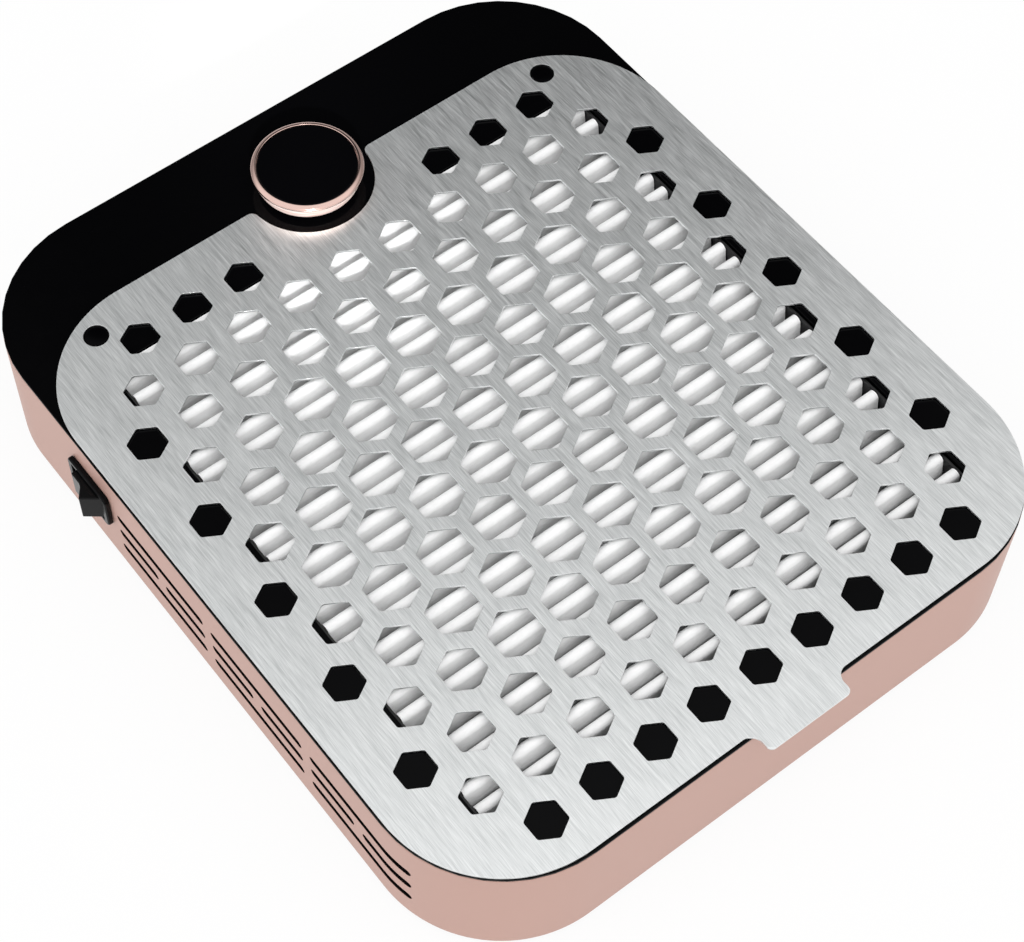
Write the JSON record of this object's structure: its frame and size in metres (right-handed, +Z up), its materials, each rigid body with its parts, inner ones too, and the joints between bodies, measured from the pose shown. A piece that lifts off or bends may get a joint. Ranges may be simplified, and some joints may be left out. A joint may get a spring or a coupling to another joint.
{
  "type": "desk nail dust collector",
  "caption": "Low table dust collector: a fan draws air down through a perforated steel plate and a pleated filter and out of slots in the side walls; with a speed knob and a rocker switch.",
  "frame": {"origin": "middle of the object's box, at the level of the table", "axes": "+Z up; -Y towards the user, where the plate's finger tab is; -X towards the side with the power switch"},
  "size_m": [0.2368, 0.2802, 0.0562],
  "materials": {
    "rose_paint": "satin rose-gold anodised",
    "rose_polish": "polished rose-gold anodised",
    "deck_gloss": "gloss black moulded",
    "disc_gloss": "gloss black",
    "brushed_steel": "brushed front to back",
    "black_plastic": "fine satin",
    "switch_plastic": "satin",
    "rocker_plastic": "satin",
    "well_plastic": "satin",
    "base_plastic": "fine texture",
    "fan_plastic": "satin",
    "filter_paper": "matt fibrous",
    "foot_rubber": "matt",
    "plated_steel": "nickel plated",
    "bearing_steel": "ground steel",
    "screw_steel": "plated steel",
    "magnet_steel": "nickel plated magnet",
    "copper_windings": "lacquered copper wire",
    "board_laminate": "green lacquered laminate",
    "capacitor_sleeve": "plain shrink sleeve",
    "terminal_plastic": "satin",
    "bare_aluminium": "extruded, bare",
    "red_sheath": "insulation",
    "black_sheath": "insulation"
  },
  "bodies": {
    "case": {"side_wall": "rose_paint", "top_deck": "deck_gloss", "locating_stud_left": "black_plastic", "locating_stud_right": "black_plastic", "plate_magnet_front_left": "magnet_steel", "plate_magnet_front_right": "magnet_steel", "plate_magnet_back_left": "magnet_steel", "plate_magnet_back_right": "magnet_steel", "filter_well": "well_plastic", "fan_frame": "fan_plastic", "fan_bearing_lower": "bearing_steel", "fan_bearing_upper": "bearing_steel", "fan_stator": "copper_windings", "fan_screw_front_left": "screw_steel", "fan_screw_front_right": "screw_steel", "fan_screw_back_left": "screw_steel", "fan_screw_back_right": "screw_steel", "speed_potentiometer": "plated_steel", "potentiometer_nut": "screw_steel", "switch_body": "switch_plastic", "switch_terminal_front": "plated_steel", "switch_terminal_back": "plated_steel", "power_inlet": "black_plastic", "power_inlet_pin": "plated_steel", "power_inlet_nut": "screw_steel", "base_cover": "base_plastic", "case_screw_front_left": "screw_steel", "case_screw_front_right": "screw_steel", "case_screw_middle_left": "screw_steel", "case_screw_middle_right": "screw_steel", "case_screw_back_left": "screw_steel", "case_screw_back_right": "screw_steel", "foot_front_left": "foot_rubber", "foot_front_right": "foot_rubber", "foot_back_left": "foot_rubber", "foot_back_right": "foot_rubber", "control_board": "board_laminate", "board_capacitor": "capacitor_sleeve", "board_terminal_block": "terminal_plastic", "board_heat_sink": "bare_aluminium", "board_screw_left": "screw_steel", "board_screw_right": "screw_steel", "switch_lead_front": "black_sheath", "switch_lead_back": "red_sheath", "fan_lead": "black_sheath", "inlet_lead": "red_sheath", "speed_lead": "black_sheath"},
    "grille": {"grille_plate": "brushed_steel"},
    "filter": {"filter_frame": "black_plastic", "filter_media": "filter_paper"},
    "knob": {"knob_body": "rose_polish", "knob_disc": "disc_gloss", "potentiometer_shaft": "bearing_steel"},
    "rocker": {"switch_rocker": "rocker_plastic"},
    "impeller": {"fan_impeller": "fan_plastic", "fan_shaft": "bearing_steel", "fan_rotor_ring": "magnet_steel"}
  },
  "joints": [
    {"name": "grille_lift", "type": "slide", "parent": "case", "child": "grille", "axis": [0, 0, 1], "range_m": [0, 0.1]},
    {"name": "filter_lift", "type": "slide", "parent": "case", "child": "filter", "axis": [0, 0, 1], "range_m": [0, 0.05]},
    {"name": "knob_turn", "type": "hinge", "parent": "case", "child": "knob", "pos_m": [0.00345, 0.1047, 0.0525], "axis": [0, 0, -1], "range_deg": [0, 300]},
    {"name": "rocker_tilt", "type": "hinge", "parent": "case", "child": "rocker", "pos_m": [-0.11335, 0.0592, 0.0287], "axis": [0, 0, 1], "range_deg": [0, 38]},
    {"name": "impeller_spin", "type": "hinge", "parent": "case", "child": "impeller", "pos_m": [0.00345, -0.01375, 0.0246], "axis": [0, 0, 1], "continuous": true}
  ],
  "couplings": [
    {"joint": "filter_lift", "follows": "grille_lift", "ratio": 0.5}
  ]
}
